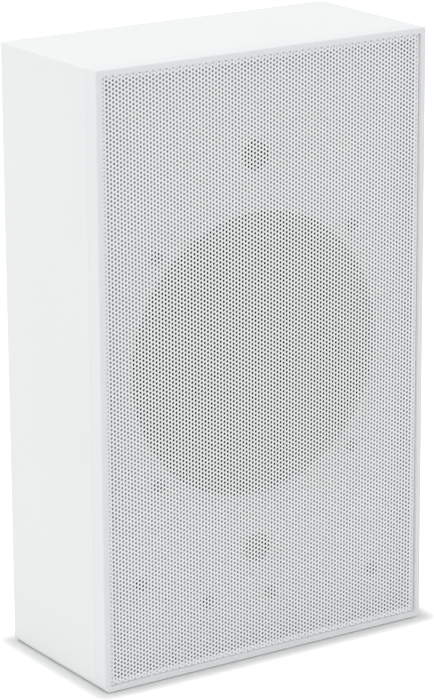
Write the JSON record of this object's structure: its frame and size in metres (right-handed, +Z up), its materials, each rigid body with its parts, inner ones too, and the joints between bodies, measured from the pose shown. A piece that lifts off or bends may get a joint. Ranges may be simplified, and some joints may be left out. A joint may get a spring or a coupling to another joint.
{
  "type": "wall speaker",
  "caption": "White box speaker for flat wall mounting: moulded housing, front frame, perforated metal grille, vented baffle, cone driver and line transformer.",
  "frame": {"origin": "middle of the underside, halfway between the front and the wall side", "axes": "+Z up along the height, +Y from the front towards the wall, +X to the right seen from the front"},
  "size_m": [0.182, 0.085, 0.295],
  "materials": {
    "housing_plastic": "white ABS, very fine moulded grain",
    "frame_plastic": "white ABS, very fine moulded grain",
    "grille_paint": "white powder coat on perforated steel sheet",
    "baffle_plastic": "white ABS, matt",
    "foam": "closed-cell foam strip",
    "screw_white": "white coated steel",
    "screw_black": "black zinc plated steel",
    "basket_paint": "black painted pressed steel",
    "card": "grey-brown gasket card",
    "zinc": "bright zinc plated steel",
    "surround_rubber": "matt black rubber",
    "cone_paper": "dark grey pressed paper",
    "former": "amber polyimide",
    "copper": "enamelled copper wire",
    "spider_cloth": "resin-stiffened cotton",
    "ferrite": "dark ferrite",
    "laminate": "brown phenolic board",
    "tinned": "tinned brass",
    "core_steel": "stacked silicon steel sheets",
    "bobbin_plastic": "ivory nylon",
    "coil_tape": "winding under yellow polyester tape",
    "block_plastic": "ivory polyamide",
    "lead_brown": "brown PVC insulation",
    "lead_red": "red PVC insulation",
    "tinsel_braid": "braided copper tinsel",
    "grommet_rubber": "black rubber"
  },
  "bodies": {
    "cabinet": {"rear_housing": "housing_plastic", "front_frame": "frame_plastic", "grille": "grille_paint", "baffle": "baffle_plastic", "baffle_seal": "foam", "baffle_screws": "screw_white", "basket": "basket_paint", "driver_gasket": "card", "driver_screws": "screw_black", "driver_nuts": "zinc", "surround": "surround_rubber", "spider": "spider_cloth", "top_plate": "zinc", "magnet": "ferrite", "yoke": "zinc", "tag_strip": "laminate", "solder_tags": "tinned", "transformer_core": "core_steel", "transformer_bobbin": "bobbin_plastic", "transformer_winding": "coil_tape", "transformer_clamp": "zinc", "transformer_screws": "screw_black", "transformer_nuts": "zinc", "terminal_block": "block_plastic", "pole_screws": "zinc", "block_screws": "screw_black", "block_nuts": "zinc", "input_leads": "lead_brown", "driver_leads": "lead_red", "tinsel_leads": "tinsel_braid", "cable_grommet": "grommet_rubber"},
    "cone_assembly": {"cone": "cone_paper", "dust_cap": "cone_paper", "voice_coil_former": "former", "voice_coil_winding": "copper"}
  },
  "joints": [
    {"name": "cone_travel", "type": "slide", "parent": "cabinet", "child": "cone_assembly", "axis": [0, 1, 0], "range_m": [-0.002, 0.002], "stiffness_N_per_m": 3500, "deforming": ["surround", "spider", "tinsel_leads"]}
  ]
}
